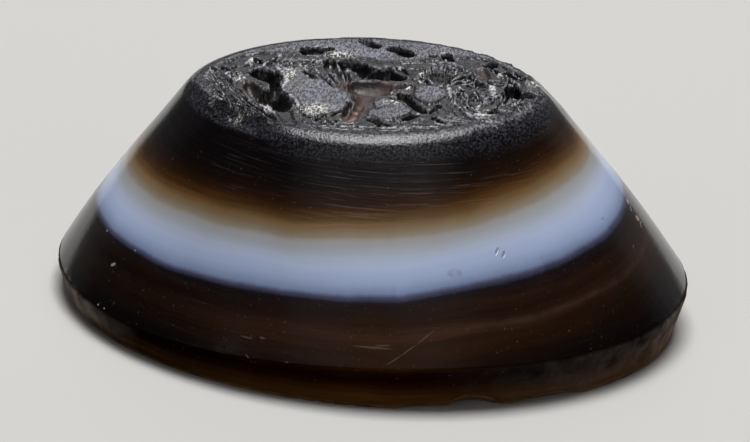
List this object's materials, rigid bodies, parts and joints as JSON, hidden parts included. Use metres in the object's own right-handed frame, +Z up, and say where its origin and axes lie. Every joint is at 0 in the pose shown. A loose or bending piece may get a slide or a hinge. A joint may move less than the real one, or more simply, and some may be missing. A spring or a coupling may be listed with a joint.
{
  "type": "engraved agate ringstone",
  "caption": "Oval banded-agate ringstone with a flat base, sloping polished sides and a device sunk into its small upper face.",
  "frame": {"origin": "on the flat base, under the middle of the girdle", "axes": "+X along the stone's length, +Y towards the top of the device, +Z up through the engraved face"},
  "size_m": [0.0212, 0.0176, 0.0079],
  "materials": {
    "banded_agate": "polished, worn on the face"
  },
  "bodies": {
    "root": {"intaglio_gem": "banded_agate"}
  },
  "joints": []
}
